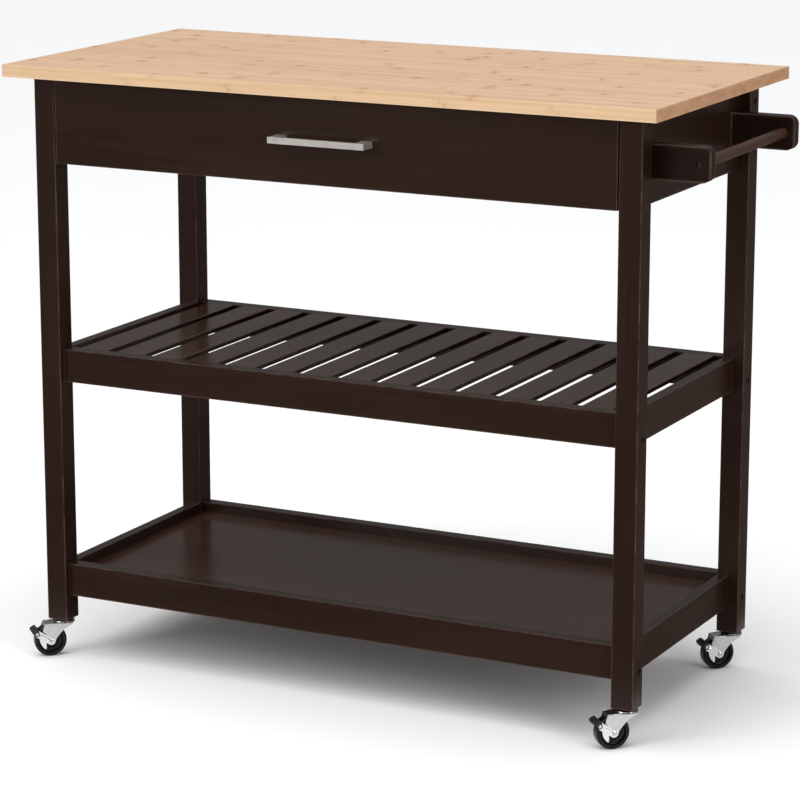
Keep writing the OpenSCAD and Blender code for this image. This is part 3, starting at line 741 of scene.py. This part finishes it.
def caster_rivet_mesh():
    bm = bmesh.new()
    at = (0, PAD_RIVET[0] - TRAIL, PAD_RIVET[1] + WHEEL_R)
    for side in (-1, 1):
        low = ARM_OUT + 0.6
        dome = [(0, low), (2.5, low), (2.5, low + 0.7), (2.0, low + 1.1), (1.1, low + 1.35), (0, low + 1.4)]
        lathe(bm, [(radius, height * side) for radius, height in dome], X, at, 28)
    return bm


CASTER_PARTS = [
    # name, builder, material, slot, bevel, angle of a sharp arris, CAD node it stands for, body prefix
    ("stem", caster_stem_mesh, chrome, "caster_chrome", 0.0002, 35, "stem", None),
    ("fork", caster_fork_mesh, chrome, "caster_chrome", 0.0003, 14, "fork", "swivel"),
    ("axle", caster_axle_mesh, zinc, "caster_chrome", 0.0002, 35, "axle", "swivel"),
    ("wheel", caster_wheel_mesh, nylon, "wheel_black", 0.0, 24, "wheel", "wheel"),
    ("brake", caster_brake_mesh, bright_strip, "brake_steel", 0.00025, 18, "brake", "brake"),
    ("pad", caster_pad_mesh, pad_plastic, "wheel_black", 0.0003, 30, None, "brake"),
    ("rivet", caster_rivet_mesh, zinc, "brake_steel", 0.0, 35, None, "brake"),
]

joint_at = {j["name"]: j for j in frame["joints"]}
caster_meshes = {}
for corner in ("fl", "fr", "bl", "br"):
    swivel = Vector(joint_at[f"caster_{corner}_swivel"]["pos_m"])
    roll = Vector(joint_at[f"caster_{corner}_roll"]["axis"])
    place = Matrix.Translation((swivel.x, swivel.y, 0)) @ Matrix.Rotation(math.atan2(roll.y, roll.x), 4, "Z")
    for part, build, material, slot, bevel, sharp, node, body in CASTER_PARTS:
        name = f"{part}_{corner}"
        if part in caster_meshes:
            piece = place_mesh(name, caster_meshes[part])
        else:
            piece = make(name, build(), material, bevel, smooth=sharp)
            caster_meshes[part] = piece.data
        piece.matrix_world = place
        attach(piece, f"{body}_{corner}" if body else "frame")
        if node:
            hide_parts(f"caster_{corner}_{node}")

# ---------------------------------------------------------------- screws of the towel rack

HEAD_R = 4.0
HALF_BETWEEN = 0.014


def cross_head(bm, place):
    """A countersunk screw's head with a cross recess, its face at Z = 0 of place and its shank along +Z."""
    arm, half, depth = 2.3, 0.55, 1.3
    plus = [(half, half), (half, arm), (-half, arm), (-half, half), (-arm, half), (-arm, -half)]
    plus += [(-half, -half), (-half, -arm), (half, -arm), (half, -half), (arm, -half), (arm, half)]
    rim = circle(HEAD_R, range(0, 360, 12))

    def ring(points, z, scale=1.0):
        return [bm.verts.new(place @ (Vector((px * scale, py * scale, z)) * MM)) for px, py in points]

    face, recess, bottom = ring(rim, 0), ring(plus, 0), ring(plus, depth, 0.72)
    fill_between(bm, face, recess)
    join(bm, recess, bottom)
    bm.faces.new(bottom)
    shank = [face, ring(rim, 2.6, 0.5), ring(rim, 27, 0.5), ring(rim, 28.6, 0.08)]
    for low, high in zip(shank, shank[1:]):
        join(bm, low, high)
    bm.faces.new(shank[-1])


screws = bmesh.new()
rack_low, rack_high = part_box("rack_screws")
bar_low, bar_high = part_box("towel_bar")
bar_x = (bar_low.x + bar_high.x) / 2
bar_z = (bar_low.z + bar_high.z) / 2
into_legs = Matrix.Rotation(math.radians(90), 4, "Y")
for side, outer, bracket in ((-1, rack_low.y, "rack_bracket_front"), (1, rack_high.y, "rack_bracket_back")):
    inwards = Matrix.Rotation(math.radians(90 * side), 4, "X")
    cross_head(screws, Matrix.Translation((bar_x, outer, bar_z)) @ inwards)
    middle = sum(corner.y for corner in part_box(bracket)) / 2
    for up in (-HALF_BETWEEN, HALF_BETWEEN):
        cross_head(screws, Matrix.Translation((rack_low.x, middle, bar_z + up)) @ into_legs)
rack_screws = make("rack_screws_detail", screws, dark_steel)
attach(rack_screws, "frame")
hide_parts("rack_screws")

# ---------------------------------------------------------------- floor, lights and camera


FLOOR_SIZE = 90


def floor_paint():
    """Pale to the eye and to the light it spreads; duller in the lacquer's and the chrome's reflections."""
    paint = Paint("floor_pale", specular_ior_level=0.1)
    cloud = paint.noise(paint.place((0.8, 0.8, 0.8)), 1.0, 3.0)
    pale = paint.mix(cloud, (0.90, 0.90, 0.90), (0.93, 0.93, 0.93))
    path = paint.node("LightPath", {}).outputs
    far = paint.span(path["Ray Length"], 0.15, 0.30, smooth=True)
    mirrored = paint.math("MULTIPLY", path["Is Glossy Ray"], far)
    paint.set(base_color=paint.mix(mirrored, pale, (0.140, 0.118, 0.105)), roughness=0.8)
    return paint.material


bpy.ops.mesh.primitive_plane_add(size=FLOOR_SIZE, location=(0, 0, 0))
floor = bpy.context.object
floor.name = "studio_floor"
floor.data.materials.append(floor_paint())

# World: white to the camera, brighter upwards in reflections, and an even soft light for everything else
world = bpy.data.worlds.new("studio_world")
bpy.context.scene.world = world
world.use_nodes = True
sky = Nodes(world.node_tree)
seen = world.node_tree.nodes["Background"]
sky.put(seen.inputs["Color"], (1, 1, 1))
sky.put(seen.inputs["Strength"], 1.0)
room = sky.node("Background", {"Color": (0.96, 0.98, 1.0), "Strength": 0.42})
height = sky.node("SeparateXYZ", {0: sky.node("TexCoord", {}).outputs["Generated"]}).outputs["Z"]
walls = sky.node("Background", {"Strength": sky.span(height, 0.30, 0.90, 0.22, 0.80)})
path = sky.node("LightPath", {}).outputs
lit = sky.node("MixShader", {0: path["Is Glossy Ray"], 1: room.outputs[0], 2: walls.outputs[0]})
whole = sky.node("MixShader", {0: path["Is Camera Ray"], 1: lit.outputs[0], 2: seen.outputs[0]})
sky.put(world.node_tree.nodes["World Output"].inputs["Surface"], whole.outputs[0])


def hang(name, light):
    lamp = bpy.data.objects.new(name, light)
    bpy.context.scene.collection.objects.link(lamp)
    return lamp


def soft_light(name, place, target, size, watts, colour=(1, 1, 1)):
    light = bpy.data.lights.new(name, "AREA")
    light.shape = "RECTANGLE"
    light.size, light.size_y = size
    light.energy = watts
    light.color = colour
    lamp = hang(name, light)
    lamp.location = place
    lamp.rotation_euler = (Vector(target) - Vector(place)).to_track_quat("-Z", "Y").to_euler()


soft_light("key", (-2.4, -4.6, 2.5), target=(0, 0, 0.5), size=(2.6, 2.2), watts=95, colour=(1.0, 0.97, 0.94))
soft_light("overhead", (0.3, 0.2, 4.2), target=(0, 0, 0.8), size=(3.0, 2.0), watts=16)
soft_light("fill", (3.9, -1.6, 1.7), target=(0, 0, 0.6), size=(2.0, 2.4), watts=62, colour=(1.0, 0.98, 0.96))
ceiling = bpy.data.lights.new("ceiling", "SUN")
ceiling.energy = 2.0
ceiling.angle = math.radians(70)
hang("ceiling", ceiling).rotation_euler = (math.radians(14), math.radians(-10), 0)

# Fitted to the photograph: the cart's front right-hand corner, seen from above the worktop's height
CAMERA_AT = Vector((2.0856, -4.1271, 1.5104))
CAMERA_TURN = math.radians(26.973)
CAMERA_DROP = math.radians(13.361)
LENS = 142.32
SENSOR = 36
camera_data = bpy.data.cameras.new("camera")
camera_data.lens = LENS
camera_data.sensor_width = SENSOR
camera = hang("camera", camera_data)
camera.location = CAMERA_AT
camera.rotation_euler = (math.pi / 2 - CAMERA_DROP, 0, CAMERA_TURN)
bpy.context.scene.camera = camera

bpy.context.scene.view_settings.view_transform = "Standard"
